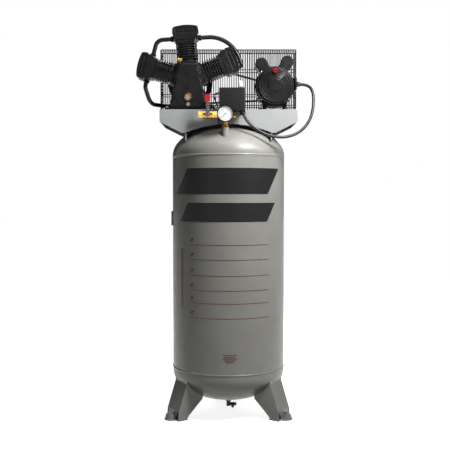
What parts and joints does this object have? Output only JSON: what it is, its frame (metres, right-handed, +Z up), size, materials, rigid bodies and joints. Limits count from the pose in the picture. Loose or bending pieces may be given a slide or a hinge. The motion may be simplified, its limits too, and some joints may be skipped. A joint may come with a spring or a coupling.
{
  "type": "vertical tank air compressor",
  "caption": "Belt-driven W-type pump and electric motor on a wire-guarded platform over an upright air receiver on three feet.",
  "frame": {"origin": "centre of the foot bolt circle on the floor, on the tank axis", "axes": "+Z up the tank, +X to the motor side, -Y to the gauge side"},
  "size_m": [0.791, 0.5869, 1.7509],
  "materials": {
    "tank_paint": "satin",
    "deck_paint": "satin",
    "black_paint": "satin",
    "black_iron": "semi-gloss paint",
    "steel": "machined",
    "core_steel": "laminated",
    "zinc": "zinc plated",
    "brass": "cast",
    "alloy": "cast",
    "black_plastic": "moulded",
    "white_plastic": "moulded",
    "red_vinyl": "dipped",
    "red_button": "moulded",
    "rubber": "moulded",
    "dial": "printed",
    "glass": "clear",
    "cable": "extruded"
  },
  "bodies": {
    "receiver": {"bearings": "steel", "belt": "rubber", "breather": "brass", "cable_glands": "black_plastic", "capacitor_covers": "black_paint", "capacitors": "black_plastic", "check_valve": "brass", "connecting_rods": "steel", "cover_bolts": "black_iron", "crank_pins": "steel", "crankcase": "black_iron", "cylinder_heads": "black_iron", "cylinders": "black_iron", "discharge_tubes": "black_paint", "drain_body": "black_iron", "front_cover": "black_iron", "gauge_case": "black_paint", "gauge_dial": "dial", "gauge_lens": "glass", "guard_back": "black_paint", "guard_front": "black_paint", "guard_rim": "black_paint", "manifold": "brass", "motor_bell_front": "black_paint", "motor_bell_rear": "black_paint", "motor_cable": "cable", "motor_shell": "black_paint", "motor_stator": "core_steel", "mount_bolts": "zinc", "oil_plug": "zinc", "platform": "deck_paint", "safety_body": "brass", "sight_lens": "glass", "sight_ring": "brass", "switch_base": "black_plastic", "switch_cover": "black_plastic", "tank_bottom_head": "tank_paint", "tank_feet": "tank_paint", "tank_ports": "tank_paint", "tank_shell": "tank_paint", "tank_top_head": "tank_paint", "tube_nuts": "black_paint", "unloader_tube": "black_paint", "valve_body": "brass", "valve_plates": "black_iron"},
    "crank": {"crankshaft": "steel", "flywheel": "black_iron"},
    "motor_drive": {"motor_rotor": "core_steel", "motor_pulley": "black_iron"},
    "left_piston": {"piston_left": "alloy"},
    "centre_piston": {"piston_centre": "alloy"},
    "right_piston": {"piston_right": "alloy"},
    "on_off_lever": {"switch_lever": "white_plastic"},
    "outlet_valve": {"valve_ball": "steel", "valve_handle": "steel", "valve_grip": "red_vinyl"},
    "relief_stem": {"safety_ring": "zinc"},
    "drain_stem": {"drain_handle": "black_iron"},
    "needle": {"gauge_needle": "black_plastic"},
    "reset": {"reset_button": "red_button"}
  },
  "joints": [
    {"name": "crank_spin", "type": "hinge", "parent": "receiver", "child": "crank", "pos_m": [-0.178, 0.05, 1.519], "axis": [0, 1, 0], "continuous": true},
    {"name": "motor_spin", "type": "hinge", "parent": "receiver", "child": "motor_drive", "pos_m": [0.205, 0, 1.477], "axis": [0, 1, 0], "continuous": true},
    {"name": "piston_left_slide", "type": "slide", "parent": "receiver", "child": "left_piston", "axis": [-0.9681, 0, 0.2504], "range_m": [-0.015, 0.031]},
    {"name": "piston_centre_slide", "type": "slide", "parent": "receiver", "child": "centre_piston", "axis": [-0.0698, 0, 0.9976], "range_m": [0, 0.046]},
    {"name": "piston_right_slide", "type": "slide", "parent": "receiver", "child": "right_piston", "axis": [0.9239, 0, 0.3827], "range_m": [-0.0121, 0.0339]},
    {"name": "on_off_switch", "type": "hinge", "parent": "receiver", "child": "on_off_lever", "pos_m": [0.051, -0.204, 1.448], "axis": [0, 1, 0], "range_deg": [-20, 0]},
    {"name": "outlet_valve_turn", "type": "hinge", "parent": "receiver", "child": "outlet_valve", "pos_m": [-0.09, -0.205, 1.342], "axis": [0, 1, 0], "range_deg": [-90, 0]},
    {"name": "safety_pull", "type": "slide", "parent": "receiver", "child": "relief_stem", "axis": [0, 0, 1], "range_m": [0, 0.005], "stiffness_N_per_m": 400, "springref_m": -0.002},
    {"name": "drain_turn", "type": "hinge", "parent": "receiver", "child": "drain_stem", "pos_m": [0.035, 0, 0.03], "axis": [1, 0, 0], "range_deg": [0, 90]},
    {"name": "gauge_sweep", "type": "hinge", "parent": "receiver", "child": "needle", "pos_m": [-0.014, -0.2555, 1.342], "axis": [0, 1, 0], "range_deg": [0, 270]},
    {"name": "reset_press", "type": "slide", "parent": "receiver", "child": "reset", "axis": [0, 1, 0], "range_m": [0, 0.003], "stiffness_N_per_m": 300}
  ],
  "couplings": [
    {"joint": "motor_spin", "follows": "crank_spin", "ratio": 2.6667}
  ]
}
